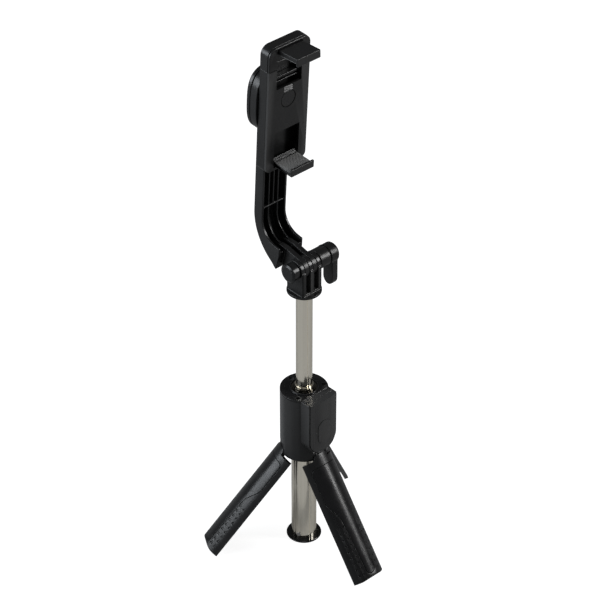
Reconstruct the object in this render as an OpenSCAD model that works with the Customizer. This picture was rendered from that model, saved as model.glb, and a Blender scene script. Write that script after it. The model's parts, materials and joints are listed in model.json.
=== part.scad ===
// Selfie stick with a folding three-leg base, a telescopic pole, a tilting arm, a phone clamp
// and a push-button remote. Millimetres, +Z up. The origin is on the pole's axis, level with
// the leg tips and with the underside of the foot disc. The clamp faces -Y.

/* [Pole] */
// Outside radius of the outer tube
tube_r = 7.6; // [7.2:0.1:8.0]
// Radius lost from each tube to the next one inside it
tube_step = 0.675; // [0.65:0.005:0.7]
// Height of the outer tube's mouth above the ground
tube_top = 112.6; // [108:0.2:118]
// How far the top section stands out in the resting pose
pole_out = 65.9; // [10:0.1:80]
// Radius of the foot disc
foot_r = 10.6; // [9:0.1:10.6]

/* [Hub] */
// Outside radius of the hub
hub_r = 14.35; // [14.2:0.05:15]
// Height of the hub's lower edge
hub_bottom = 66; // [65.8:0.1:66.5]
// Height of the hub's top face
hub_top = 112.2; // [108:0.2:116]
// Width of the remote
remote_w = 20.2; // [18:0.2:20.6]
// Height of the remote
remote_h = 36.2; // [34:0.2:36.6]

/* [Legs] */
// Outside radius of the closed legs
leg_r = 13.4; // [13.2:0.1:13.8]
// Wall of a leg
leg_wall = 2.45; // [2:0.05:2.5]
// Half angle that each leg covers round the pole
leg_half = 59; // [50:1:59]
// Splay of an open leg
leg_splay = 36; // [30:0.5:38]

/* [Head] */
// Thickness of the three ears of the tilt hinge
ear_t = 2.7; // [2.5:0.05:2.9]
// Radius of the ears and prongs
ear_r = 6.3; // [6:0.1:7]
// Length of the wing knob's lever, from the hinge axis
lever_len = 21.4; // [16:0.2:23]
// Forward lean of the arm and clamp in the resting pose
lean = 3.3; // [0:0.1:6]

/* [Clamp] */
// Width of the clamp body
clamp_w = 30; // [29:0.5:32]
// Thickness of the clamp body
clamp_t = 7.55; // [7.4:0.05:8]
// Half width of each folding jaw
jaw_half_w = 8.45; // [7.5:0.05:8.5]
// Reach of the upper jaw in front of the clamp's face
upper_reach = 14.8; // [13:0.1:15]
// Reach of the lower jaw in front of the clamp's face
lower_reach = 14.1; // [13:0.1:15]

/* [Hidden] */
$fn = 96;
eps = 0.01;
black = [0.055, 0.055, 0.06];
dark = [0.09, 0.09, 0.1];
steel = [0.78, 0.77, 0.74];
grey = [0.38, 0.38, 0.37];
board_green = [0.05, 0.28, 0.14];

// Pole
tube_wall = 0.4;
lip_h = 0.8;
lip_gap = 0.08;
foot_t = 1.4;
plug_h = 5.6;
key_angle = -102;
key_r = 0.9;
key_ridge_r = 1.25;
key_out = 0.45;
seam_angle = 180;
seam_r = 2;
seam_out = 1.75;
sleeve_gap = 0.06;
bush_h = 8;
section_floor = foot_t + plug_h + 1;
section_rise = 0.8;
section_travel = 85;
collapsed_gap = 0.3;
rivet_z = 4.6;
rivet_r = 0.9;
rivet_angle = -157;

function section_r(n) = tube_r - tube_step * (n - 1);
function section_top(n) = tube_top + section_rise * (n - 1);
function section_bottom(n) = section_floor + section_rise * (n - 1);

// Hub and leg hinges
hub_wall = 1.2;
hub_fillet = 2;
cap_t = 1.4;
collar_r = 8.5;
collar_h = 0.9;
cap_slot_r = 11.7;
cap_slot_size = 1.7;
cap_slot_depth = 0.8;
pivot_r = 10.7;
pivot_z = 70.8;
knuckle_r = 2.6;
knuckle_half = 4.9;
notch_half = 5.15;
notch_top = 75;
pin_r = 0.8;
pin_half = 6.2;
carrier_r = hub_r - hub_wall - 0.05;
carrier_bottom = 67.4;
carrier_top = 79;
leg_angles = [150, -90, 30];

// Legs, drawn closed round the pole and then opened about their hinge
leg_top = 65.5;
neck_top = pivot_z - 1;
leg_sin = sin(leg_splay);
leg_cos = cos(leg_splay);
leg_drop = (pivot_z - (pivot_r - (leg_r - leg_wall) * cos(leg_half)) * leg_sin) / leg_cos;
leg_bottom = pivot_z - leg_drop;
foot_round = 2.8;
neck_round = 1.6;
neck_dome = 3;
cover_t = 1.1;
cover_top = 61.2;
cover_w = leg_r * sin(42);
cover_neck_w = leg_r * sin(19);
cover_neck_top = 41;
cover_neck_bottom = 24.4;
cover_tip = leg_bottom + 3.2;
cover_tip_w = leg_r * sin(13);
cover_tip_round = 2;
cover_corner = 2.6;
cover_gap = 0.15;
dimple_r = 0.62;
dimple_depth = 0.4;
dimple_top = 22.6;
dimple_pitch = 3.9;
dimple_count = 8;
dimple_angles = [-37.5, -24, 24, 37.5];

// Remote and its bay
remote_top = hub_top;
remote_face = -17.8;
remote_seam = -13.4;
remote_rear = -9.7;
remote_bow_r = 42.3;
remote_corner = 7.7;
remote_skin = 1;
bay_gap = 0.15;
bay_rim = 0.75;
bay_face = -16.1;
bay_floor = 1.1;
rail_w = 1.2;
rail_d = 0.55;
rail_y = -12;
button_z = 89.6;
button_half_w = 4.85;
button_half_h = 8.2;
button_gap = 0.15;
button_proud = 0.25;
light_x = -5.9;
light_z = 90.4;
light_r = 0.55;

// Tilt hinge, in the arm's own frame: the hinge axis is X, through the frame's origin
flange_bottom = section_top(5) + pole_out;
flange_r = 10.2;
flange_t = 1.65;
hinge_z = flange_bottom + 17.2;
prong_t = 3.1;
ear_gap = 0.15;
ear_pitch = (ear_t + prong_t) / 2 + ear_gap;
bolt_r = 2;
bolt_gap = 0.05;
slot_floor = -14.2;
block_half_y = 7;
head_pin_r = 0.75;
nut_cap_r = 5.3;
nut_cap_len = 5.65;
nut_af_r = 4.04;
nut_t = 3.2;
washer_t = 0.5;
washer_r = 5;
knob_r = 6.1;
knob_seam = 15.8;
knob_end = 22.8;
knob_gap = 0.05;
lever_from = 18.2;
lever_to = 22.6;
lever_w = 8;
ear_end = ear_pitch * 2 + ear_t / 2;
knob_start = ear_end + washer_t + knob_gap * 2;

// Arm
arm_half = 9.2;
arm_wall = 1.4;
arm_back = 33.5;
arm_front = 26.8;
arm_outer_r = 33;
arm_outer_z = 25;
arm_outer_end = -58;
arm_inner_r = 12.4;
arm_inner_z = 21.2;
arm_inner_turn = 86;
arm_tip = [13.9, -6.5];
arm_lip = [11.8, 8.5];
arm_top = 90;
web_t = 1.6;
rib_t = 0.9;
rib_x = 3.4;
rib_inset = 0.9;
cross_rib_z = 27.6;
housing_a = 16.6;
housing_b = 20.2;
housing_z = 100.5;
housing_power = 3;
housing_back = 31.7;
housing_wall = 1.6;
cover_groove = 0.5;
peg_r = 0.8;
peg_len = 2.6;
peg_places = [[-11.3, 112], [11.3, 112], [-11.3, 92], [11.3, 92]];
cover_step = 1.4;
cover_back = 35.9;

// Clamp
face_y = 18.95;
back_y = face_y + clamp_t;
plate_t = 1.55;
clamp_bottom = 59.2;
part_line = 125.5;
clamp_top = 139.4;
top_corner = 5.3;
bottom_corner = 3.3;
tray_wall = 1.5;
tray_floor = 1.6;
part_gap = 0.2;
window_half = 9.15;
upper_window = 112.4;
lower_window_top = 83.9;
lower_window_bottom = 61.2;
swivel_z = 103;
boss_r = 6;
boss_gap = 0.06;
boss_inner_r = 3.7;
cap_r = 5;
cap_gap = 0.4;
cap_depth = 0.7;
swivel_screw_r = 1.5;
swivel_head_r = 3;
rail_half_in = 9.3;
rail_half_out = 13.2;
rail_bottom = 92;
rail_front = 21.1;
rail_back = 24.7;
hanger_z = 109.5;
hanger_y = 22.4;
hanger_r = 0.6;
spring_x = 6.1;
spring_r = 1.45;
spring_wire = 0.3;
spring_turns = 38;
spring_pitch = 0.54;
anchor_z = 86.5;
anchor_r = 1.1;

// Jaws
jaw_y = 20.6;
jaw_pin_r = 0.9;
jaw_pin_gap = 0.05;
jaw_flush = jaw_y - face_y;
upper_jaw_tip_z = 138.9;
upper_jaw_t = 2.8;
upper_lip = 4.9;
lower_jaw_bottom = 61.8;
lower_jaw_t = 2.5;
lower_lip = 4.7;
lip_t = 1.4;
pad_t = 0.5;
pad_inset = 0.2;
jaw_gap = 0.35;
jaw_rise = 5;
upper_pivot_z = upper_jaw_tip_z - jaw_flush * cos(jaw_rise) - (upper_reach + jaw_flush) * sin(jaw_rise);
lower_pivot_z = lower_jaw_bottom + jaw_flush;
step_depth = 0.95;
step_pitch = 1.25;
step_half = 3.3;
brace_tops = [118.9, 116.1];
brace_t = [1.5, 0.7];
screw_places = [[-13, 64.5], [13, 64.5]];

// ---------------------------------------------------------------- shared shapes

// Places a shape from the arm's frame on the leaning hinge axis
module on_head() {
    translate([0, 0, hinge_z]) rotate([lean, 0, 0]) children();
}

// A bar along X
module x_bar(radius, from, to) {
    translate([from, 0, 0]) rotate([0, 90, 0]) cylinder(r = radius, h = to - from);
}

// A bar along Y
module y_bar(radius, from, to) {
    translate([0, from, 0]) rotate([-90, 0, 0]) cylinder(r = radius, h = to - from);
}

// Extrudes an outline drawn in X and Z along Y
module along_y(from, to) {
    translate([0, to, 0]) rotate([90, 0, 0]) linear_extrude(to - from) children();
}

// Extrudes an outline drawn in Y and Z along X
module along_x(from, to) {
    translate([from, 0, 0]) rotate([90, 0, 90]) linear_extrude(to - from) children();
}

// A rectangle with its own radius on the lower and on the upper corners
module soft_rect(half_w, low, high, low_r, high_r) {
    translate([-half_w, low + low_r]) square([half_w * 2, high - high_r - low - low_r]);
    if (low_r > 0) {
        translate([-half_w + low_r, low]) square([(half_w - low_r) * 2, low_r + eps]);
        for (s = [-1, 1]) translate([s * (half_w - low_r), low + low_r]) circle(low_r);
    }
    if (high_r > 0) {
        translate([-half_w + high_r, high - high_r - eps]) square([(half_w - high_r) * 2, high_r + eps]);
        for (s = [-1, 1]) translate([s * (half_w - high_r), high - high_r]) circle(high_r);
    }
}

// ---------------------------------------------------------------- pole

// The key: one rolled groove that runs down every tube
module key(radius, tube_radius, low, high) {
    rotate(key_angle) translate([tube_radius + key_out, 0, low]) cylinder(r = radius, h = high - low);
}

// A tube with a rolled mouth that guides the next tube
module keyed_tube(radius, low, high, wall, lip) {
    next_r = radius - tube_step;
    difference() {
        translate([0, 0, low]) cylinder(r = radius, h = high - low);
        difference() {
            union() {
                translate([0, 0, low - 1]) cylinder(r = radius - wall, h = high - low + (lip > 0 ? 1 - lip : 2));
                translate([0, 0, high - 1]) cylinder(r = next_r + lip_gap, h = 2);
            }
            key(key_ridge_r, radius, low - 2, high + 2);
        }
        key(key_r, radius, low - 1, high + 1);
    }
}

// A friction sleeve round the lower end of a section
module sleeve(n) {
    low = section_bottom(n) + (n == 5 ? pole_out : 0);
    outer = section_r(n - 1) - tube_wall - sleeve_gap;
    difference() {
        translate([0, 0, low]) cylinder(r = outer, h = bush_h);
        translate([0, 0, low - 1]) cylinder(r = section_r(n), h = bush_h + 2);
        key(key_ridge_r + 0.3, section_r(n - 1), low - 1, low + bush_h + 1);
    }
}

module outer_tube() {
    color(steel) difference() {
        keyed_tube(tube_r, foot_t, tube_top, tube_wall, lip_h);
        rotate(seam_angle) translate([tube_r + seam_out, 0, foot_t - 1]) cylinder(r = seam_r, h = tube_top);
        rotate(rivet_angle) translate([0, 0, rivet_z]) x_bar(rivet_r, tube_r - 2, tube_r + 1);
    }
}

module foot_disc() {
    plug_r = tube_r - tube_wall - 0.05;
    color(black) difference() {
        union() {
            rotate_extrude() polygon([
                [0, 0], [foot_r - 0.5, 0], [foot_r, 0.4], [foot_r, foot_t - 0.3], [foot_r - 0.4, foot_t], [0, foot_t]
            ]);
            translate([0, 0, foot_t - eps]) cylinder(r = plug_r, h = plug_h);
        }
        key(key_ridge_r + 0.05, tube_r, foot_t, foot_t + plug_h + 1);
        rotate(rivet_angle) translate([0, 0, rivet_z]) x_bar(rivet_r, 4, tube_r);
    }
}

module tube_rivet() {
    color(steel) rotate(rivet_angle) translate([0, 0, rivet_z]) {
        x_bar(rivet_r - 0.02, 4.2, tube_r + 0.05);
        x_bar(rivet_r + 0.45, tube_r + 0.02, tube_r + 0.4);
    }
}

module pole_section(n) {
    lift = n == 5 ? pole_out : 0;
    lip = n == 5 ? 0 : lip_h;
    color(steel) keyed_tube(section_r(n), section_bottom(n) + lift, section_top(n) + lift, tube_wall, lip);
}

module bush(n) {
    color(dark) sleeve(n);
}

// ---------------------------------------------------------------- hub

// Outline of the remote: square at the top, round at the bottom
module remote_outline(grow) {
    soft_rect(remote_w / 2 + grow, remote_top - remote_h - grow, remote_top + (grow > 0 ? 4 : 0),
              remote_corner + grow, 0);
}

module leg_notches(half, radius_from, low, high) {
    for (a = leg_angles) rotate(a) translate([radius_from, -half, low]) cube([20, half * 2, high - low]);
}

module hub_shell() {
    shell_top = hub_top - cap_t;
    fillet_steps = 6;
    color(black) difference() {
        union() {
            rotate_extrude() polygon(concat(
                [[0, hub_bottom]],
                [for (i = [0:fillet_steps])
                    let (a = -90 + 90 * i / fillet_steps)
                    [hub_r - hub_fillet + hub_fillet * cos(a), hub_bottom + hub_fillet + hub_fillet * sin(a)]],
                [[hub_r, shell_top], [0, shell_top]]
            ));
            intersection() {
                along_y(bay_face, -8) remote_outline(bay_gap + bay_rim);
                translate([-20, -20, hub_bottom]) cube([40, 40, shell_top - hub_bottom]);
            }
        }
        difference() {
            translate([0, 0, hub_bottom - 1]) cylinder(r = hub_r - hub_wall, h = shell_top);
            along_y(-20, -8.4) remote_outline(bay_gap + bay_rim);
        }
        difference() {
            along_y(-20, remote_rear + bay_gap) remote_outline(bay_gap);
            for (s = [-1, 1]) translate([s * (remote_w / 2 + bay_gap) - rail_d, rail_y - rail_w / 2, 0])
                cube([rail_d * 2, rail_w, shell_top]);
        }
        translate([0, 0, hub_bottom - 1]) cylinder(r = tube_r + 0.3, h = 60);
        leg_notches(notch_half, 8, hub_bottom - 1, notch_top);
    }
}

module hub_top_cap() {
    color(black) difference() {
        union() {
            translate([0, 0, hub_top - cap_t]) cylinder(r = hub_r, h = cap_t);
            translate([0, 0, hub_top - eps]) cylinder(r = collar_r, h = collar_h);
            intersection() {
                along_y(bay_face, -8) remote_outline(bay_gap + bay_rim);
                translate([-20, -20, hub_top - cap_t]) cube([40, 40, cap_t]);
            }
        }
        translate([0, 0, hub_top - 5]) cylinder(r = tube_r + 0.02, h = 10);
        difference() {
            along_y(-20, remote_rear + bay_gap) remote_outline(bay_gap);
            for (s = [-1, 1]) translate([s * (remote_w / 2 + bay_gap) - rail_d, rail_y - rail_w / 2, 0])
                cube([rail_d * 2, rail_w, hub_top]);
        }
        for (a = leg_angles) rotate(a + 60)
            translate([cap_slot_r, 0, hub_top - cap_slot_depth]) cylinder(r = cap_slot_size, h = 2, $fn = 3);
    }
}

module leg_carrier() {
    color(dark) difference() {
        translate([0, 0, carrier_bottom]) cylinder(r = carrier_r, h = carrier_top - carrier_bottom);
        translate([0, 0, carrier_bottom - 1]) cylinder(r = tube_r + 0.02, h = 20);
        leg_notches(notch_half, 6, carrier_bottom - 1, notch_top);
        for (a = leg_angles) rotate(a) translate([pivot_r, 0, pivot_z]) rotate([90, 0, 0])
            cylinder(r = pin_r, h = 30, center = true);
        along_y(-20, -8.2) remote_outline(bay_gap + bay_rim + 0.1);
    }
}

module leg_hinge_pins() {
    color(steel) for (a = leg_angles) rotate(a) translate([pivot_r, 0, pivot_z]) rotate([90, 0, 0])
        cylinder(r = pin_r, h = pin_half * 2, center = true);
}

// ---------------------------------------------------------------- legs

// Turns a closed leg about its hinge and round the pole to where it stands open
module open_leg(angle) {
    rotate(angle) translate([pivot_r, 0, pivot_z]) rotate([0, -leg_splay, 0])
        translate([-pivot_r, 0, -pivot_z]) children();
}

// One third of a round sleeve, along +X
module leg_sector(inner, outer, low, high) {
    difference() {
        translate([0, 0, low]) cylinder(r = outer, h = high - low);
        translate([0, 0, low - 1]) cylinder(r = inner, h = high - low + 2);
        for (s = [-1, 1]) rotate(s * leg_half)
            translate([-20, s > 0 ? 0 : -30, low - 1]) cube([50, 30, high - low + 2]);
    }
}

// Side view of a leg: the outer corner of its foot is round
module leg_side() {
    steps = 7;
    along_y(-20, 20) polygon(concat(
        [[0, neck_top], [0, leg_bottom]],
        [for (i = [0:steps])
            let (a = -90 + 90 * i / steps)
            [leg_r - foot_round + foot_round * cos(a), leg_bottom + foot_round + foot_round * sin(a)]
            + [i * 0.06, 0]],
        [[leg_r + 1, leg_bottom + foot_round + 1], [leg_r + 0.2, neck_top - neck_round * 1.1]],
        [for (i = [1:4])
            let (a = 90 * i / 4 - 4)
            [leg_r - neck_round + neck_round * cos(a), neck_top - neck_round + neck_round * sin(a)]],
        [[leg_r - neck_round - 0.3, neck_top]]
    ));
}

// Front view of what is cut away beside and above a leg's neck, which ends in a low dome
module neck_cut() {
    steps = 12;
    along_x(0, 20) polygon(concat(
        [[20, leg_top], [knuckle_half, leg_top]],
        [for (i = [0:steps])
            let (a = 180 * i / steps)
            [knuckle_half * cos(a), neck_top - neck_dome + neck_dome * sin(a)]],
        [[-knuckle_half, leg_top], [-20, leg_top], [-20, neck_top + 9], [20, neck_top + 9]]
    ));
}

// Outline of a grip cover: wide at the top, drawn in to a narrow strip that runs down to the foot
module cover_outline(grow) {
    steps = 10;
    w = cover_w + grow;
    neck = cover_neck_w + grow;
    tip = cover_tip_w + grow;
    right = concat(
        [for (i = [0:steps])
            let (a = 90 - 90 * i / steps)
            [w - cover_corner + cover_corner * cos(a), cover_top + grow - cover_corner + cover_corner * sin(a)]],
        [for (i = [0:steps])
            let (f = i / steps)
            [neck + (w - neck) * (1 + cos(180 * f)) / 2,
             cover_neck_top - (cover_neck_top - cover_neck_bottom) * f]],
        [for (i = [0:steps / 2 - 1])
            let (a = -180 * i / steps)
            [tip * cos(a), cover_tip - grow + cover_tip_round + cover_tip_round * sin(a)]],
        [[0, cover_tip - grow]]
    );
    left = [for (i = [len(right) - 2:-1:0]) [-right[i][0], right[i][1]]];
    polygon(concat(right, left));
}

module cover_block(grow) {
    rotate([90, 0, 90]) linear_extrude(20) cover_outline(grow);
}

module leg_frame(angle) {
    inner = leg_r - leg_wall;
    color(black) open_leg(angle) difference() {
        union() {
            difference() {
                intersection() {
                    leg_sector(inner, leg_r, leg_bottom, neck_top);
                    leg_side();
                }
                neck_cut();
            }
            translate([pivot_r, 0, pivot_z]) rotate([90, 0, 0])
                cylinder(r = knuckle_r, h = knuckle_half * 2, center = true);
        }
        translate([pivot_r, 0, pivot_z]) rotate([90, 0, 0])
            cylinder(r = pin_r + 0.05, h = 40, center = true);
        difference() {
            cover_block(cover_gap);
            translate([0, 0, leg_bottom]) cylinder(r = leg_r - cover_t, h = leg_top - leg_bottom);
        }
        for (a = dimple_angles, i = [0:dimple_count])
            rotate(a) translate([0, 0, dimple_top - dimple_pitch * i])
                x_bar(dimple_r, leg_r - dimple_depth, leg_r + 1);
    }
}

module leg_cover(angle) {
    color(dark) open_leg(angle) intersection() {
        leg_sector(leg_r - cover_t, leg_r, cover_tip - 1, cover_top + 1);
        cover_block(0);
    }
}

// ---------------------------------------------------------------- pole head and tilt hinge

module pole_head() {
    color(black) {
        difference() {
            union() {
                translate([0, 0, flange_bottom]) cylinder(r = flange_r, h = flange_t);
                intersection() {
                    translate([0, 0, flange_bottom]) cylinder(r = flange_r - 0.4, h = hinge_z - flange_bottom);
                    translate([-ear_end, -block_half_y, flange_bottom])
                        cube([ear_end * 2, block_half_y * 2, hinge_z - flange_bottom]);
                }
                translate([0, 0, hinge_z]) x_bar(ear_r, -ear_end, ear_end);
                translate([0, 0, flange_bottom - 9]) cylinder(r = section_r(5) - tube_wall - 0.03, h = 10);
            }
            for (s = [-1, 1]) translate([s * ear_pitch - prong_t / 2 - ear_gap, -20, hinge_z + slot_floor])
                cube([prong_t + ear_gap * 2, 40, 40]);
            translate([0, 0, hinge_z]) x_bar(bolt_r + bolt_gap, -20, 20);
            key(key_ridge_r + 0.1, section_r(5), flange_bottom - 20, flange_bottom);
            translate([0, 0, flange_bottom - 5]) x_bar(head_pin_r, -10, 10);
        }
    }
}

module head_pin() {
    half = section_r(5) - tube_wall - 0.1;
    color(steel) translate([0, 0, flange_bottom - 5]) x_bar(head_pin_r, -half, half);
}

module nut_cap() {
    outer = -ear_end - nut_cap_len;
    color(black) translate([0, 0, hinge_z]) difference() {
        union() {
            x_bar(nut_cap_r, outer + 0.8, -ear_end);
            translate([outer, 0, 0]) rotate([0, 90, 0]) cylinder(r1 = nut_cap_r - 0.8, r2 = nut_cap_r, h = 0.8 + eps);
        }
        translate([-ear_end - nut_t, 0, 0]) rotate([0, 90, 0]) cylinder(r = nut_af_r + 0.02, h = nut_t + 1, $fn = 6);
        x_bar(bolt_r + bolt_gap, outer + 1, 0);
    }
}

module hinge_nut() {
    color(steel) translate([-ear_end - nut_t + 0.1, 0, hinge_z]) rotate([0, 90, 0]) difference() {
        cylinder(r = nut_af_r, h = nut_t - 0.2, $fn = 6);
        translate([0, 0, -1]) cylinder(r = bolt_r + bolt_gap, h = nut_t + 2);
    }
}

module hinge_washer() {
    color(steel) translate([0, 0, hinge_z]) difference() {
        x_bar(washer_r, ear_end + knob_gap, ear_end + knob_gap + washer_t);
        x_bar(bolt_r + bolt_gap, ear_end - 1, ear_end + 3);
    }
}

module hinge_bolt() {
    color(steel) translate([0, 0, hinge_z]) {
        x_bar(bolt_r, -ear_end - nut_t - 0.8, knob_start + 8);
        translate([knob_start + 5, 0, 0]) rotate([0, 90, 0]) cylinder(r = 4.04, h = 3, $fn = 6);
    }
}

module wing_knob() {
    bevel = 1.4;
    color(black) translate([0, 0, hinge_z]) difference() {
        union() {
            x_bar(knob_r - 0.3, knob_start, knob_end - bevel);
            x_bar(knob_r, knob_start, knob_seam - 0.25);
            x_bar(knob_r, knob_seam + 0.25, knob_end - bevel);
            translate([knob_end - bevel, 0, 0]) rotate([0, 90, 0]) cylinder(r1 = knob_r, r2 = knob_r - bevel, h = bevel);
            along_x(lever_from, lever_to) polygon(concat(
                [[lever_w / 2, 0]],
                [for (i = [0:8])
                    let (a = -180 * i / 8)
                    [lever_w / 2 * cos(a), -lever_len + lever_w * 0.6 + lever_w * 0.6 * sin(a)]],
                [[-lever_w / 2, 0]]
            ));
        }
        x_bar(bolt_r + 0.01, knob_start - 1, knob_start + 9);
        translate([knob_start + 4.98, 0, 0]) rotate([0, 90, 0]) cylinder(r = 4.06, h = 3.04, $fn = 6);
    }
}

// ---------------------------------------------------------------- arm

// Points on the arm's outer and inner curves, in Y and Z
function outer_arc(radius, from, to, steps) = [
    for (i = [0:steps])
        let (a = from + (to - from) * i / steps)
        [arm_back - arm_outer_r + radius * cos(a), arm_outer_z + radius * sin(a)]
];
function inner_arc(radius, steps) = [
    for (i = [0:steps])
        let (a = -arm_inner_turn * i / steps)
        [arm_front - arm_inner_r + radius * cos(a), arm_inner_z + radius * sin(a)]
];

// Side view of the arm's walls; inset draws the edge that faces the clamp back into the channel
module arm_side(inset) {
    inner = inner_arc(arm_inner_r + inset, 12);
    polygon(concat(
        [[arm_back, arm_top]],
        outer_arc(arm_outer_r, 0, arm_outer_end, 16),
        [arm_tip, arm_lip + [0, -5], arm_lip + [0, -inset]],
        [for (i = [len(inner) - 1:-1:0]) inner[i]],
        [[arm_front + inset, arm_top]]
    ));
}

// Side view of the wall that closes the channel's end
module arm_end_side() {
    polygon([arm_tip, arm_lip + [0, -5], arm_lip + [0, -2.6], arm_lip + [1.6, -2.6], arm_lip + [1.7, -5], [15.8, -5]]);
}

// Side view of the back wall, which follows the outer curve
module web_side() {
    polygon(concat(
        [[arm_back, arm_top]],
        outer_arc(arm_outer_r, 0, arm_outer_end, 16),
        [arm_tip, [14.2, -4.4]],
        outer_arc(arm_outer_r - web_t, arm_outer_end, 0, 16),
        [[arm_back - web_t, arm_top]]
    ));
}

// Side view of a prong: a round eye and the neck that carries it
module prong_side() {
    circle(ear_r);
    polygon([
        [-1, ear_r - 0.1], [4, 6.8], [8, 7.5], [12, 8], [16, 7.9], [20, 7.2], [23, 6.4], [24.9, 5.4],
        [22, 2], [17.5, -2], [13.2, -4.6], [8, -5.8], [1, -ear_r + 0.1]
    ]);
}

module housing_outline(shrink) {
    steps = 72;
    a = housing_a - shrink;
    b = housing_b - shrink;
    function side(v) = sign(v) * pow(abs(v), 2 / housing_power);
    translate([0, housing_z]) polygon([for (i = [0:steps - 1])
        let (t = 360 * i / steps) [a * side(cos(t)), b * side(sin(t))]]);
}

module arm_frame() {
    color(black) on_head() difference() {
        union() {
            for (s = [-1, 1]) {
                x0 = s > 0 ? arm_half - arm_wall : -arm_half;
                along_x(x0, x0 + arm_wall) arm_side(0);
                along_x(s * ear_pitch - prong_t / 2, s * ear_pitch + prong_t / 2) prong_side();
                along_x(s * rib_x - rib_t / 2, s * rib_x + rib_t / 2) arm_side(rib_inset);
            }
            along_x(-rib_t / 2, rib_t / 2) intersection() {
                arm_side(rib_inset);
                translate([0, cross_rib_z]) square([60, 60]);
            }
            along_x(-arm_half, arm_half) web_side();
            along_x(-arm_half, arm_half) translate([arm_front + 0.6, cross_rib_z]) square([arm_back - arm_front - 1, rib_t]);
            along_x(-arm_half, arm_half) arm_end_side();
            difference() {
                along_y(arm_front, housing_back) housing_outline(0);
                along_y(arm_front + housing_wall, housing_back + 1) housing_outline(housing_wall);
            }
            along_y(housing_back - 1, housing_back + cover_groove) difference() {
                housing_outline(0.6);
                housing_outline(housing_wall);
            }
            for (p = peg_places) translate([p[0], 0, p[1]]) y_bar(1.8, arm_front, housing_back);
        }
        intersection() {
            along_y(arm_front + housing_wall, housing_back + 10) housing_outline(housing_wall);
            translate([-8, 0, swivel_z - 8]) cube([16, 60, 16]);
        }
        translate([0, 0, swivel_z]) y_bar(boss_r + boss_gap, arm_front - 5, arm_front + 4);
        x_bar(bolt_r + bolt_gap, -20, 20);
        for (p = peg_places) translate([p[0], 0, p[1]]) y_bar(peg_r, housing_back - peg_len - 0.2, arm_back + 1);
    }
}

module arm_rear_cover() {
    color(black) on_head() {
        difference() {
            union() {
                along_y(housing_back + cover_groove, cover_back - cover_step) housing_outline(0);
                along_y(cover_back - cover_step - eps, cover_back - cover_step / 2) housing_outline(0.5);
                along_y(cover_back - cover_step / 2 - eps, cover_back) housing_outline(1.6);
            }
            along_y(housing_back - 1, cover_back - cover_step) housing_outline(housing_wall + 0.3);
            along_y(housing_back - 1, arm_back + 0.1) translate([-arm_half - 0.1, 70])
                square([(arm_half + 0.1) * 2, arm_top - 69.8]);
        }
        for (p = peg_places) translate([p[0], 0, p[1]]) y_bar(peg_r - 0.02, housing_back - peg_len, cover_back - 1);
    }
}

// ---------------------------------------------------------------- clamp

module swivel_washer() {
    color(steel) on_head() translate([0, 0, swivel_z]) difference() {
        y_bar(7.6, arm_front + housing_wall + 0.15, arm_front + housing_wall + 0.85);
        y_bar(swivel_screw_r + 0.02, 0, 60);
    }
}

module swivel_screw() {
    washer_back = arm_front + housing_wall + 0.85;
    color(steel) on_head() translate([0, 0, swivel_z]) {
        y_bar(swivel_screw_r, face_y + 3.2, washer_back + 0.5);
        y_bar(swivel_head_r, washer_back, washer_back + 1.6);
    }
}

module swivel_cap() {
    color(black) on_head() translate([0, 0, swivel_z + 0.5]) {
        y_bar(cap_r, face_y + 0.1, face_y + cap_depth);
    }
}

module body_outline(inset) {
    soft_rect(clamp_w / 2 - inset, clamp_bottom + inset, part_line - part_gap, bottom_corner - inset / 2, 0);
}

module top_outline(inset) {
    soft_rect(clamp_w / 2 + 0.1 - inset, part_line, clamp_top - inset, 0, top_corner - inset / 2);
}

module clamp_back() {
    front = face_y + plate_t;
    color(black) on_head() difference() {
        union() {
            difference() {
                along_y(front, back_y) body_outline(0);
                along_y(front - 1, back_y - tray_floor) {
                    translate([-clamp_w / 2 + tray_wall, 68]) square([clamp_w - tray_wall * 2, 70]);
                    translate([-jaw_half_w - jaw_gap, lower_window_bottom]) square([(jaw_half_w + jaw_gap) * 2, 20]);
                }
            }
            translate([0, 0, swivel_z]) y_bar(boss_r, back_y - 1, arm_front + housing_wall + 0.1);
            translate([0, 0, swivel_z]) y_bar(boss_inner_r, face_y + 2.4, back_y - 1);
            for (s = [-1, 1]) translate([s * spring_x, 0, anchor_z]) y_bar(anchor_r, rail_front, back_y - 1);
        }
        translate([0, 0, swivel_z]) y_bar(swivel_screw_r, face_y + 3, 60);
        translate([0, jaw_y, lower_pivot_z]) x_bar(jaw_pin_r, -12, 12);
        for (p = screw_places) translate([p[0], 0, p[1]]) {
            y_bar(0.8, front - 1, 60);
            y_bar(1.5, back_y - 1.1, 60);
        }
    }
}

module clamp_front() {
    color(black) on_head() difference() {
        along_y(face_y, face_y + plate_t - 0.02) difference() {
            body_outline(0.12);
            translate([-window_half, upper_window]) square([window_half * 2, 20]);
            translate([-window_half, lower_window_bottom - 0.3])
                square([window_half * 2, lower_window_top - lower_window_bottom + 0.3]);
        }
        translate([0, 0, swivel_z + 0.5]) y_bar(cap_r + cap_gap, face_y - 1, face_y + cap_depth);
        translate([0, jaw_y, lower_pivot_z]) x_bar(jaw_pin_r + 0.02, -12, 12);
        for (i = [0:2]) along_x(-step_half, step_half) translate([face_y, upper_window - step_pitch * (i + 1)])
            polygon([[-1, -0.2], [0, 0], [step_depth, step_pitch - 0.25], [-1, step_pitch - 0.25]]);
    }
}

module clamp_screws() {
    color(steel) on_head() for (p = screw_places) translate([p[0], 0, p[1]]) {
        y_bar(0.78, face_y + plate_t + 0.1, back_y - 1);
        y_bar(1.45, back_y - 1.05, back_y - 0.2);
    }
}

module lower_jaw_pin() {
    color(steel) on_head() translate([0, jaw_y, lower_pivot_z]) x_bar(jaw_pin_r - 0.01, -11.8, 11.8);
}

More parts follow.
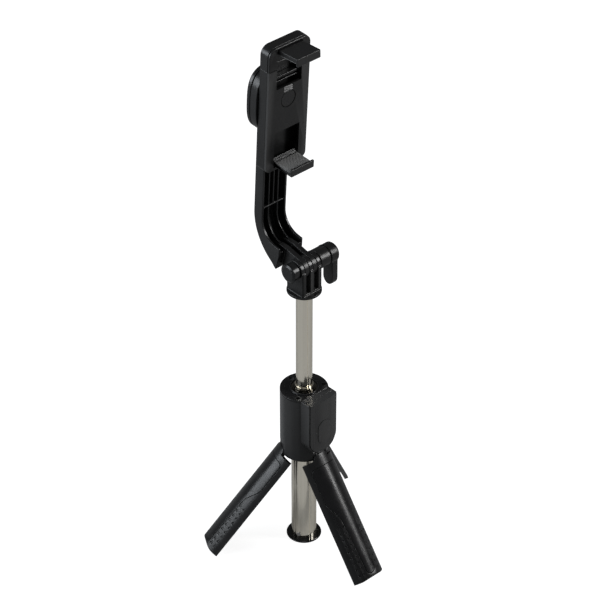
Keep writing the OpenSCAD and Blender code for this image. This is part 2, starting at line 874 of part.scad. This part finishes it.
// Two close-wound tension springs that pull the carriage down
module clamp_springs() {
    color(steel) on_head() for (s = [-1, 1])
        translate([s * spring_x, hanger_y, anchor_z + anchor_r + 0.5]) rotate_extrude() {
            translate([spring_r - spring_wire / 2, 0]) square([spring_wire, spring_pitch * (spring_turns - 1)]);
            for (i = [0:spring_turns - 1]) translate([spring_r, spring_pitch * i]) circle(spring_wire, $fn = 16);
        }
}

module carriage_frame() {
    front = face_y + plate_t;
    rail_top = part_line + 1;
    color(black) on_head() difference() {
        union() {
            along_y(front, back_y) top_outline(0);
            for (s = [-1, 1]) translate([s > 0 ? rail_half_in : -rail_half_out, rail_front, rail_bottom])
                cube([rail_half_out - rail_half_in, rail_back - rail_front, rail_top - rail_bottom]);
            for (i = [0:1]) translate([-rail_half_in - 0.5, rail_front, brace_tops[i] - brace_t[i]])
                cube([rail_half_in * 2 + 1, rail_back - rail_front, brace_t[i]]);
        }
        along_y(front - 1, rail_back) translate([-jaw_half_w - jaw_gap, part_line - 1])
            square([(jaw_half_w + jaw_gap) * 2, upper_pivot_z - part_line + 1]);
        along_y(front - 1, jaw_y + jaw_flush + 0.3) translate([-jaw_half_w - jaw_gap, upper_pivot_z - 1])
            square([(jaw_half_w + jaw_gap) * 2, jaw_flush + 1.4]);
        translate([0, jaw_y, upper_pivot_z]) x_bar(jaw_pin_r, -11, 11);
        translate([0, hanger_y, hanger_z]) x_bar(hanger_r, -11, 11);
    }
}

module carriage_front() {
    color(black) on_head() difference() {
        along_y(face_y, face_y + plate_t - 0.02) difference() {
            top_outline(0.12);
            translate([-jaw_half_w - jaw_gap, part_line - 1])
                square([(jaw_half_w + jaw_gap) * 2, upper_pivot_z + jaw_flush + 0.5 - part_line + 1]);
        }
        translate([0, jaw_y, upper_pivot_z]) x_bar(jaw_pin_r, -11, 11);
    }
}

module spring_hanger() {
    color(steel) on_head() translate([0, hanger_y, hanger_z]) x_bar(hanger_r - 0.01, -10.8, 10.8);
}

module upper_jaw_pin() {
    color(steel) on_head() translate([0, jaw_y, upper_pivot_z]) x_bar(jaw_pin_r - 0.01, -10.8, 10.8);
}

// Side view of a jaw, from its pivot: plate, lip and round knuckle
module jaw_side(reach, plate_t, lip) {
    tip = -reach - jaw_flush;
    translate([tip, jaw_flush - plate_t]) square([-tip, plate_t]);
    translate([tip, jaw_flush - lip]) square([lip_t, lip]);
    circle(jaw_flush);
}

module jaw_pad(reach, plate_t) {
    from = -reach - jaw_flush + lip_t + 0.1;
    translate([-jaw_half_w + pad_inset, from, jaw_flush - plate_t - pad_t])
        cube([(jaw_half_w - pad_inset) * 2, -from - jaw_flush - 0.3, pad_t - eps]);
}

// Places the upper jaw at its pivot, opened a little past square
module at_upper_jaw() {
    on_head() translate([0, jaw_y, upper_pivot_z]) rotate([-jaw_rise, 0, 0]) children();
}

// Places the lower jaw at its pivot, upside down
module at_lower_jaw() {
    on_head() translate([0, jaw_y, lower_pivot_z]) mirror([0, 0, 1]) children();
}

module upper_jaw() {
    color(black) at_upper_jaw() difference() {
        along_x(-jaw_half_w, jaw_half_w) jaw_side(upper_reach, upper_jaw_t, upper_lip);
        x_bar(jaw_pin_r + jaw_pin_gap, -20, 20);
    }
}

module upper_jaw_pad() {
    color(grey) at_upper_jaw() jaw_pad(upper_reach, upper_jaw_t);
}

module lower_jaw() {
    color(black) at_lower_jaw() difference() {
        union() {
            along_x(-jaw_half_w, jaw_half_w) jaw_side(lower_reach, lower_jaw_t, lower_lip);
            along_x(-jaw_half_w, jaw_half_w) polygon([
                [-1.3, -0.6], [-0.9, -1.9], [-0.1, -1.9], [-0.1, -2.7], [0.7, -2.7], [1.3, -0.6]
            ]);
        }
        x_bar(jaw_pin_r + jaw_pin_gap, -20, 20);
    }
}

module lower_jaw_pad() {
    color(grey) at_lower_jaw() jaw_pad(lower_reach, lower_jaw_t);
}

// ---------------------------------------------------------------- remote

// The remote's body between two depths; the front is bowed across its width
module remote_body(inset, from, to, bow) {
    intersection() {
        along_y(from, to) soft_rect(remote_w / 2 - inset, remote_top - remote_h + inset, remote_top - inset,
                                    remote_corner - inset, 0);
        translate([0, remote_face + bow + remote_bow_r, 0]) cylinder(r = remote_bow_r, h = 200, $fn = 240);
    }
}

module button_outline(grow) {
    r = button_half_w + grow;
    z = button_half_h - button_half_w;
    for (s = [-1, 1]) translate([0, button_z + s * z]) circle(r);
    translate([-r, button_z - z]) square([r * 2, z * 2]);
}

module remote_rail_cuts() {
    for (s = [-1, 1]) translate([s * remote_w / 2 - rail_d, rail_y - rail_w / 2 - 0.15, 0])
        cube([rail_d * 2, rail_w + 0.3, 200]);
}

module remote_front() {
    color(black) difference() {
        remote_body(0, remote_face - 1, remote_seam, 0);
        remote_body(remote_skin, remote_face - 1, remote_seam + 1, remote_skin);
        along_y(-30, remote_seam - 1) button_outline(button_gap);
        translate([light_x, 0, light_z]) y_bar(light_r, -30, remote_seam);
    }
}

module remote_back() {
    color(dark) difference() {
        remote_body(0, remote_seam + 0.05, remote_rear, 0);
        along_y(remote_seam - 1, remote_rear - remote_skin) soft_rect(
            remote_w / 2 - remote_skin - rail_d, remote_top - remote_h + remote_skin, remote_top - remote_skin,
            remote_corner - remote_skin, 0);
        remote_rail_cuts();
    }
}

module remote_board() {
    color(board_green) along_y(remote_seam - 0.7, remote_seam + 0.1)
        soft_rect(remote_w / 2 - 1.75, remote_top - remote_h + 2, remote_top - 2, remote_corner - 2, 0);
}

module coin_cell() {
    color(steel) translate([0, 0, 92.6]) y_bar(8, remote_seam + 0.15, remote_rear - remote_skin - 0.02);
}

module tact_switch() {
    color(steel) {
        translate([-1.8, remote_seam - 1.7, button_z - 1.8]) cube([3.6, 1, 3.6]);
        translate([0, 0, button_z]) y_bar(0.9, remote_seam - 2, remote_seam - 1.6);
    }
}

module light_pipe() {
    depth = remote_face + remote_bow_r - sqrt(pow(remote_bow_r, 2) - pow(light_x, 2));
    color(grey) translate([light_x, 0, light_z]) y_bar(light_r - 0.02, depth - 0.02, remote_seam - 0.75);
}

module remote_button() {
    color(black) difference() {
        intersection() {
            along_y(remote_face - 2, remote_seam - 3) button_outline(0);
            translate([0, remote_face - button_proud + remote_bow_r, 0]) cylinder(r = remote_bow_r, h = 200, $fn = 240);
        }
        along_y(remote_face + 0.8, remote_seam) button_outline(-0.8);
    }
}

outer_tube();
foot_disc();
tube_rivet();
hub_shell();
hub_top_cap();
leg_carrier();
leg_hinge_pins();
leg_frame(leg_angles[0]);  // left_leg_frame
leg_cover(leg_angles[0]);  // left_leg_cover
leg_frame(leg_angles[1]);  // front_leg_frame
leg_cover(leg_angles[1]);  // front_leg_cover
leg_frame(leg_angles[2]);  // rear_leg_frame
leg_cover(leg_angles[2]);  // rear_leg_cover
pole_section(2);  // pole_section_2
pole_section(3);  // pole_section_3
pole_section(4);  // pole_section_4
pole_section(5);  // pole_section_5
bush(2);  // bush_2
bush(3);  // bush_3
bush(4);  // bush_4
bush(5);  // bush_5
pole_head();
head_pin();
nut_cap();
hinge_nut();
hinge_washer();
hinge_bolt();
wing_knob();
arm_frame();
arm_rear_cover();
swivel_washer();
swivel_screw();
swivel_cap();
clamp_back();
clamp_front();
clamp_screws();
lower_jaw_pin();
clamp_springs();
carriage_frame();
carriage_front();
spring_hanger();
upper_jaw_pin();
upper_jaw();
upper_jaw_pad();
lower_jaw();
lower_jaw_pad();
remote_front();
remote_back();
remote_board();
coin_cell();
tact_switch();
light_pipe();
remote_button();
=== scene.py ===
import json
import math

import bmesh
import bpy
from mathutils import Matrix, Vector


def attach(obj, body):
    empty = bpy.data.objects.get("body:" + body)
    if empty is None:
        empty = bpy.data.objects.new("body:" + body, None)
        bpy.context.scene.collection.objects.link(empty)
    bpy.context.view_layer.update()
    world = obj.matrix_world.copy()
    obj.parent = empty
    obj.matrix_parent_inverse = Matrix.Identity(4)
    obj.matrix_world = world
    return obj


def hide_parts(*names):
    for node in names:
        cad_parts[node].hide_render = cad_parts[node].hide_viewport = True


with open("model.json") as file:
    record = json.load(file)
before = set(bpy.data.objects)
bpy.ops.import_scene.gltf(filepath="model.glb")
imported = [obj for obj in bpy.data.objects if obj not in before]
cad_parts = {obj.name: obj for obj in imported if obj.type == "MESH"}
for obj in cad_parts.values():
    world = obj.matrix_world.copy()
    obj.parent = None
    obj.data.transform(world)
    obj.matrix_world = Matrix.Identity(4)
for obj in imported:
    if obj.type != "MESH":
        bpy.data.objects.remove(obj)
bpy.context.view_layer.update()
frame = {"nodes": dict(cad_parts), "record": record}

MM = 0.001
WELD = 0.002 * MM
FLAT_ANGLE = 0.4
EDGE_ANGLE = 28
# The front panel's long edges are rounded in steps smaller than EDGE_ANGLE.
PANEL_EDGE_ANGLE = 12
BEVEL_SEGMENTS = 3


# ------------------------------------------------------------------ materials

DUST = (0.16, 0.16, 0.155, 1)
RUBBED_EDGE = (0.10, 0.10, 0.10, 1)
SPOT = (0.25, 0.24, 0.22, 1)
# Painted shade: the dark colour laid over the tube tops in place of the shade inside the nested
# tubes' well, and the length over which it fades in.
PAINTED_SHADE_TONE = (0.05, 0.047, 0.042, 1)
PAINTED_SHADE_LENGTH = 3 * MM


class Graph:
    """A short way to write a node tree: each call adds a node and returns its output."""

    def __init__(self, name):
        self.mat = bpy.data.materials.new(name)
        self.mat.use_nodes = True
        self.nodes = self.mat.node_tree.nodes
        self.links = self.mat.node_tree.links
        self.shader = self.nodes["Principled BSDF"]
        self.coord = self.nodes.new("ShaderNodeTexCoord").outputs["Object"]

    def put(self, value, socket):
        if isinstance(value, bpy.types.NodeSocket):
            self.links.new(value, socket)
        else:
            socket.default_value = value

    def set(self, **values):
        for key, value in values.items():
            self.put(value, self.shader.inputs[key.replace("_", " ")])

    def stretch(self, scale):
        node = self.nodes.new("ShaderNodeMapping")
        node.inputs["Scale"].default_value = scale
        self.links.new(self.coord, node.inputs["Vector"])
        return node.outputs[0]

    def noise(self, scale, detail=4.0, rough=0.5, source=None):
        node = self.nodes.new("ShaderNodeTexNoise")
        node.inputs["Scale"].default_value = scale
        node.inputs["Detail"].default_value = detail
        node.inputs["Roughness"].default_value = rough
        self.links.new(source or self.coord, node.inputs["Vector"])
        return node.outputs["Fac"]

    def cells(self, scale):
        node = self.nodes.new("ShaderNodeTexVoronoi")
        node.inputs["Scale"].default_value = scale
        self.links.new(self.coord, node.inputs["Vector"])
        return node.outputs["Distance"]

    def remap(self, value, a, b, c, d):
        node = self.nodes.new("ShaderNodeMapRange")
        self.put(value, node.inputs["Value"])
        for key, number in zip(("From Min", "From Max", "To Min", "To Max"), (a, b, c, d)):
            node.inputs[key].default_value = number
        return node.outputs[0]

    def math(self, kind, a, b=0.0):
        node = self.nodes.new("ShaderNodeMath")
        node.operation = kind
        self.put(a, node.inputs[0])
        self.put(b, node.inputs[1])
        return node.outputs[0]

    def mix(self, fac, a, b):
        node = self.nodes.new("ShaderNodeMix")
        node.data_type = "RGBA"
        self.put(fac, node.inputs["Factor"])
        self.put(a, node.inputs["A"])
        self.put(b, node.inputs["B"])
        return node.outputs["Result"]

    def height(self):
        node = self.nodes.new("ShaderNodeSeparateXYZ")
        self.links.new(self.coord, node.inputs[0])
        return node.outputs["Z"]

    def bump(self, height, strength, distance, below=None):
        node = self.nodes.new("ShaderNodeBump")
        node.inputs["Strength"].default_value = strength
        node.inputs["Distance"].default_value = distance
        self.put(height, node.inputs["Height"])
        if below is not None:
            self.links.new(below, node.inputs["Normal"])
        return node.outputs[0]

    def worn_edge(self):
        pointiness = self.nodes.new("ShaderNodeNewGeometry").outputs["Pointiness"]
        return self.remap(pointiness, 0.52, 0.62, 0.0, 1.0)


def plastic(name, colour, light, rough, grain, grain_size, spec=0.5):
    """Moulded plastic: spark-eroded grain, faint flow marks, rubbed patches, scuffs and dust."""
    g = Graph(name)
    fine = g.cells(1.0 / grain_size)
    flow = g.noise(38, 3, 0.6)
    rubbed = g.noise(95, 5, 0.65)
    dust = g.remap(g.noise(2600, 2, 0.5), 0.70, 0.82, 0.0, 0.25)
    scuff = g.remap(g.noise(1.0, 3, 0.6, g.stretch((900, 900, 60))), 0.66, 0.74, 0.0, 1.0)
    base = g.mix(g.remap(flow, 0.35, 0.65, 0.0, 1.0), (*colour, 1), (*light, 1))
    base = g.mix(g.math("MULTIPLY", dust, 0.35), base, DUST)
    base = g.mix(g.math("MULTIPLY", g.worn_edge(), 0.25), base, RUBBED_EDGE)
    shine = g.remap(rubbed, 0.3, 0.7, rough - 0.05, rough + 0.06)
    shine = g.math("ADD", shine, g.math("MULTIPLY", scuff, 0.05))
    g.set(Base_Color=base, Roughness=shine, IOR=1.5, Specular_IOR_Level=spec)
    normal = g.bump(flow, 0.05, 0.3 * MM)
    g.set(Normal=g.bump(fine, grain, grain_size * 0.25, normal))
    return g.mat


def drawn_steel(name, colour, dark, rough, streak, painted_shade_height=None):
    """Steel with fine streaks, small spots and cloudy patches.

    A tube given a top height gets painted shade: a dark colour over its last few millimetres up to
    that height and above it, standing in for the shade in the well where the pole's tubes nest."""
    g = Graph(name)
    along = g.noise(1.0, 4, 0.6, g.stretch(streak))
    fine = g.noise(1.0, 2, 0.5, g.stretch(tuple(v * 6 for v in streak)))
    cloud = g.noise(70, 4, 0.6)
    spots = g.remap(g.noise(1500, 2, 0.5), 0.7, 0.8, 0.0, 1.0)
    tone = g.mix(g.remap(along, 0.35, 0.65, 0.0, 1.0), (*colour, 1), (*dark, 1))
    tone = g.mix(g.math("MULTIPLY", spots, 0.15), tone, SPOT)
    if painted_shade_height:
        # painted shade: darken the steel from a little below the given height upwards
        painted_shade_mask = g.remap(g.height(), painted_shade_height - PAINTED_SHADE_LENGTH, painted_shade_height - PAINTED_SHADE_LENGTH / 2, 0.0, 0.9)
        tone = g.mix(painted_shade_mask, tone, PAINTED_SHADE_TONE)
    shine = g.remap(fine, 0.3, 0.7, rough - 0.03, rough + 0.05)
    shine = g.math("ADD", shine, g.remap(cloud, 0.35, 0.65, 0.0, 0.05))
    g.set(Base_Color=tone, Metallic=1.0, Roughness=shine, Normal=g.bump(fine, 0.12, 0.03 * MM))
    return g.mat


CHROME = (1.0, 0.945, 0.82), (0.86, 0.81, 0.70), 0.11, (330, 330, 3)
tube_top = max(v.co.z for v in frame["nodes"]["outer_tube"].data.vertices)

satin = plastic("satin_black_plastic", (0.007, 0.007, 0.0072), (0.010, 0.010, 0.0102),
                0.30, 0.22, 0.35 * MM, 0.24)
smooth = plastic("smooth_black_plastic", (0.006, 0.006, 0.0063), (0.009, 0.009, 0.0093),
                 0.25, 0.10, 0.4 * MM, 0.24)
gloss = plastic("gloss_black_plastic", (0.005, 0.005, 0.0052), (0.008, 0.008, 0.0082),
                0.14, 0.05, 0.6 * MM, 0.4)
rubber = plastic("grey_pad_rubber", (0.15, 0.15, 0.148), (0.20, 0.20, 0.197),
                 0.55, 0.4, 0.22 * MM, 0.35)
chrome = drawn_steel("drawn_chrome_tube", *CHROME)
# chrome with painted shade over its top few millimetres
chrome_with_painted_shade_top = drawn_steel("rolled_chrome_tube", *CHROME, tube_top)
steel = drawn_steel("plain_steel", (0.55, 0.54, 0.52), (0.42, 0.41, 0.40), 0.30, (260, 260, 260))
board = plastic("green_board", (0.010, 0.075, 0.03), (0.014, 0.10, 0.04), 0.35, 0.2, 0.8 * MM)
lens = plastic("smoked_lens", (0.02, 0.02, 0.02), (0.03, 0.03, 0.03), 0.12, 0.02, 0.5 * MM)


# ------------------------------------------------------------------ mesh helpers

def body_of(node):
    for body, members in frame["record"]["behaviour"]["bodies"].items():
        if node in members:
            return body


def refine(node, material, bevel, angle):
    """A clean copy of a solid: welded, and its flat faces made whole.

    Its edges are rounded by bevel millimetres, or left crisp where bevel is None."""
    bm = bmesh.new()
    bm.from_mesh(frame["nodes"][node].data)
    bmesh.ops.remove_doubles(bm, verts=bm.verts, dist=WELD)
    bmesh.ops.dissolve_limit(bm, angle_limit=math.radians(FLAT_ANGLE), use_dissolve_boundaries=False,
                             verts=bm.verts, edges=bm.edges)
    if bevel is None:
        for edge in bm.edges:
            edge.smooth = len(edge.link_faces) == 2 and edge.calc_face_angle() < math.radians(angle)
    piece(node, bm, material, bevel, angle)


def piece(node, bm, material, bevel, angle=EDGE_ANGLE, shade_smooth=True):
    """Makes the object that stands in for a node, from the mesh being built in bm."""
    mesh = bpy.data.meshes.new(node + "_mesh")
    bm.to_mesh(mesh)
    bm.free()
    for face in mesh.polygons:
        face.use_smooth = shade_smooth
    mesh.materials.append(material)
    obj = bpy.data.objects.new(node + "_piece", mesh)
    bpy.context.scene.collection.objects.link(obj)
    if bevel:
        mod = obj.modifiers.new("rounded edges", "BEVEL")
        mod.width = bevel * MM
        mod.segments = BEVEL_SEGMENTS
        mod.limit_method = "ANGLE"
        mod.angle_limit = math.radians(angle)
        mod.use_clamp_overlap = False
        mod.miter_outer = "MITER_ARC"
        mod.harden_normals = True
    if bevel is not None:
        mod = obj.modifiers.new("even shading", "WEIGHTED_NORMAL")
        mod.keep_sharp = True
    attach(obj, body_of(node))
    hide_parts(node)


def textured_pad(node, material, facing):
    """A rubber pad whose face is a field of small diamonds; facing is 1 for up and -1 for down."""
    relief = 0.28 * MM
    pitch = 1.15 * MM
    foot_half = pitch * 0.47
    head_half = foot_half * 0.35
    diamond = ((1, 0), (0, 1), (-1, 0), (0, -1))

    source = frame["nodes"][node].data
    face = max(source.polygons, key=lambda f: (f.normal.z * facing > 0.9) * f.area)
    normal = face.normal.copy()
    across = Vector((1, 0, 0))
    along = normal.cross(across).normalized()
    axes = (across, along, normal)
    low, high = ([f(v.co.dot(axis) for v in source.vertices) for axis in axes] for f in (min, max))
    base = high[2] - relief
    bm = bmesh.new()

    def ring(outline, w):
        return [bm.verts.new(across * u + along * v + normal * w) for u, v in outline]

    def wall(lower, upper):
        for i in range(len(lower)):
            j = (i + 1) % len(lower)
            bm.faces.new((lower[i], lower[j], upper[j], upper[i]))

    outline = ((low[0], low[1]), (high[0], low[1]), (high[0], high[1]), (low[0], high[1]))
    bottom = ring(outline, low[2])
    top = ring(outline, base)
    bm.faces.new(list(reversed(bottom)))
    bm.faces.new(top)
    wall(bottom, top)

    cols, rows = (int((high[i] - low[i]) / (pitch / 2)) - 1 for i in (0, 1))
    for row in range(rows):
        for col in range(cols):
            if (row + col) % 2:
                continue
            u = (low[0] + high[0]) / 2 + (col - (cols - 1) / 2) * pitch / 2
            v = (low[1] + high[1]) / 2 + (row - (rows - 1) / 2) * pitch / 2
            foot = ring([(u + a * foot_half, v + b * foot_half) for a, b in diamond], base)
            head = ring([(u + a * head_half, v + b * head_half) for a, b in diamond], high[2])
            bm.faces.new(head)
            wall(foot, head)
    bmesh.ops.recalc_face_normals(bm, faces=bm.faces)
    piece(node, bm, material, 0, shade_smooth=False)


# ------------------------------------------------------------------ pieces

# Each node's material, and the radius in millimetres of its rounded edges.
FINISH = {
    # The outer tube and sections 2 and 3 carry painted shade at their tops.
    "outer_tube": (chrome_with_painted_shade_top, 0.08),
    "pole_section_2": (chrome_with_painted_shade_top, 0.06),
    "pole_section_3": (chrome_with_painted_shade_top, 0.06),
    "pole_section_4": (chrome, 0.06),
    "pole_section_5": (chrome, 0.06),
    "foot_disc": (gloss, 0.15),
    "tube_rivet": (steel, 0.12),
    "hub_shell": (satin, None),
    "hub_top_cap": (smooth, 0.25),
    "leg_carrier": (satin, 0.1),
    "leg_hinge_pins": (steel, 0.1),
    "pole_head": (smooth, 0.35),
    "head_pin": (steel, 0.1),
    "nut_cap": (smooth, 0.55),
    "hinge_nut": (steel, 0.1),
    "hinge_washer": (steel, 0.1),
    "hinge_bolt": (steel, 0.1),
    "wing_knob": (satin, 0.5),
    "arm_frame": (satin, 0.28),
    "arm_rear_cover": (smooth, 0.4),
    "swivel_washer": (steel, 0.1),
    "swivel_screw": (steel, 0.1),
    "swivel_cap": (smooth, 0.2),
    "clamp_back": (satin, 0.3),
    "clamp_front": (satin, None),
    "clamp_screws": (steel, 0.1),
    "lower_jaw_pin": (steel, 0.1),
    "clamp_springs": (steel, 0.0),
    "carriage_frame": (satin, 0.3),
    "carriage_front": (satin, 0.5),
    "spring_hanger": (steel, 0.1),
    "upper_jaw_pin": (steel, 0.1),
    "upper_jaw": (satin, 0.35),
    "lower_jaw": (satin, 0.35),
    "remote_front": (smooth, None),
    "remote_back": (satin, 0.2),
    "remote_board": (board, 0.1),
    "coin_cell": (steel, 0.15),
    "tact_switch": (steel, 0.1),
    "light_pipe": (lens, 0.0),
    "remote_button": (smooth, None),
}
for side in ("left", "front", "rear"):
    FINISH[side + "_leg_frame"] = (satin, 0.25)
    FINISH[side + "_leg_cover"] = (smooth, 0.15)
for section in (2, 3, 4, 5):
    FINISH["bush_%d" % section] = (satin, 0.0)

for node, (material, bevel) in FINISH.items():
    refine(node, material, bevel, PANEL_EDGE_ANGLE if node == "clamp_front" else EDGE_ANGLE)
textured_pad("upper_jaw_pad", rubber, -1)
textured_pad("lower_jaw_pad", rubber, 1)


# ------------------------------------------------------------------ floor, light and camera

FLOOR_HALF = 6.0
FLOOR_DROP = 0.3 * MM


def floor():
    """A plain floor: white to the camera, and a dim grey to the object that it lights."""
    bm = bmesh.new()
    bmesh.ops.create_grid(bm, x_segments=8, y_segments=8, size=FLOOR_HALF)
    mesh = bpy.data.meshes.new("floor")
    bm.to_mesh(mesh)
    bm.free()
    g = Graph("pale_floor")
    seen = g.nodes.new("ShaderNodeLightPath").outputs["Is Camera Ray"]
    tone = g.mix(g.noise(3, 3), (0.28, 0.28, 0.28, 1), (0.30, 0.30, 0.30, 1))
    tone = g.mix(seen, (0.28, 0.28, 0.28, 1), tone)
    g.set(Base_Color=tone, Roughness=0.8, Specular_IOR_Level=0.05, Emission_Color=(1, 1, 1, 1),
          Emission_Strength=g.remap(seen, 0, 1, 0.07, 0.92))
    mesh.materials.append(g.mat)
    obj = bpy.data.objects.new("floor", mesh)
    obj.location.z = -FLOOR_DROP
    bpy.context.scene.collection.objects.link(obj)


def softbox(name, place, size, power, colour=(1, 1, 1)):
    """A rectangular light aimed at the middle of the object."""
    middle = Vector((0, 0, 0.17))
    light = bpy.data.lights.new(name, "AREA")
    light.shape = "RECTANGLE"
    light.size, light.size_y = size
    light.energy = power
    light.color = colour
    obj = bpy.data.objects.new(name, light)
    obj.location = place
    obj.rotation_euler = (middle - Vector(place)).to_track_quat("-Z", "Y").to_euler()
    bpy.context.scene.collection.objects.link(obj)


def studio_world():
    """A white backdrop that lights the object only dimly, so that black plastic stays black."""
    world = bpy.data.worlds.new("studio")
    bpy.context.scene.world = world
    world.use_nodes = True
    nodes, links = world.node_tree.nodes, world.node_tree.links
    nodes.clear()

    def background(colour, strength):
        node = nodes.new("ShaderNodeBackground")
        node.inputs["Color"].default_value = colour
        node.inputs["Strength"].default_value = strength
        return node.outputs[0]

    seen = nodes.new("ShaderNodeLightPath").outputs["Is Camera Ray"]
    choice = nodes.new("ShaderNodeMixShader")
    links.new(seen, choice.inputs[0])
    links.new(background((0.97, 0.98, 1, 1), 0.10), choice.inputs[1])
    links.new(background((1, 1, 1, 1), 1.0), choice.inputs[2])
    links.new(choice.outputs[0], nodes.new("ShaderNodeOutputWorld").inputs[0])


def long_lens_camera():
    """A far camera on the front left, looking down at the object."""
    elevation = 35.64
    azimuth = -42.53
    camera = bpy.data.objects.new("camera", bpy.data.cameras.new("camera"))
    camera.location = (-0.7938, -0.8618, 1.0149)
    camera.rotation_euler = (math.radians(90 - elevation), 0, math.radians(azimuth))
    camera.data.lens = 151.24
    camera.data.sensor_width = 36
    camera.data.clip_end = 50
    bpy.context.scene.collection.objects.link(camera)
    bpy.context.scene.camera = camera


floor()
softbox("left", (-1.30, 0.72, 0.66), (1.15, 0.75), 28, (0.90, 0.95, 1.0))
softbox("right_front", (0.88, -1.05, 0.86), (0.34, 0.75), 20)
softbox("top", (-0.5, -0.6, 1.9), (0.7, 0.7), 2.5)
studio_world()
long_lens_camera()
bpy.context.scene.view_settings.view_transform = "Standard"
